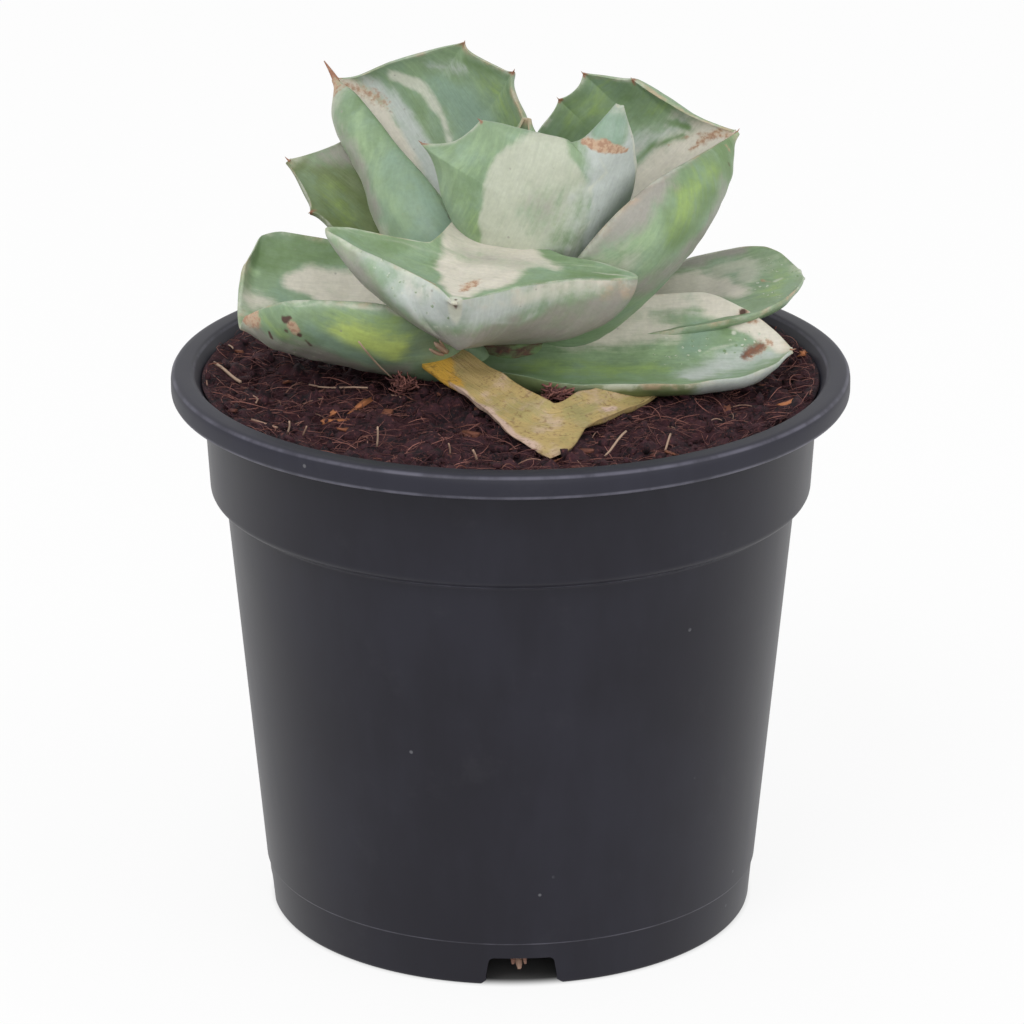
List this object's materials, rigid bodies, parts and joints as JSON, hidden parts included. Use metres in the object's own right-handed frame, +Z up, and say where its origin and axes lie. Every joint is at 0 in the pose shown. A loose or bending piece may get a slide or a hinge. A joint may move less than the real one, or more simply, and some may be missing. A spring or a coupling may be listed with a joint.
{
  "type": "dead succulent in a nursery pot",
  "caption": "Wilting toothed rosette succulent with bleached, scarred leaves and a dried yellow leaf on the soil, in a round black plastic nursery pot.",
  "frame": {"origin": "centre of the pot's foot, on the surface it stands on", "axes": "+Z up; the leaf that points at the viewer points along -Y, +X is to the viewer's right"},
  "size_m": [0.117, 0.117, 0.1487],
  "materials": {
    "pot": "satin black plastic, slightly dusty",
    "soil": "dark red-brown peat and coir fibre",
    "stem": "dry corky stem",
    "leaf": "matt grey-green with a pale waxy bloom and brown scars",
    "dead_leaf": "dry, dull, yellow"
  },
  "bodies": {
    "root": {"pot": "pot", "soil": "soil", "stem": "stem", "dead_leaf": "dead_leaf", "heart_leaf": "leaf", "centre_leaf": "leaf", "left_tall_leaf": "leaf", "right_tall_leaf": "leaf", "front_leaf": "leaf", "left_back_leaf": "leaf", "back_leaf": "leaf", "right_rear_leaf": "leaf", "right_back_leaf": "leaf", "right_low_leaf": "leaf", "left_low_leaf": "leaf"}
  },
  "joints": []
}
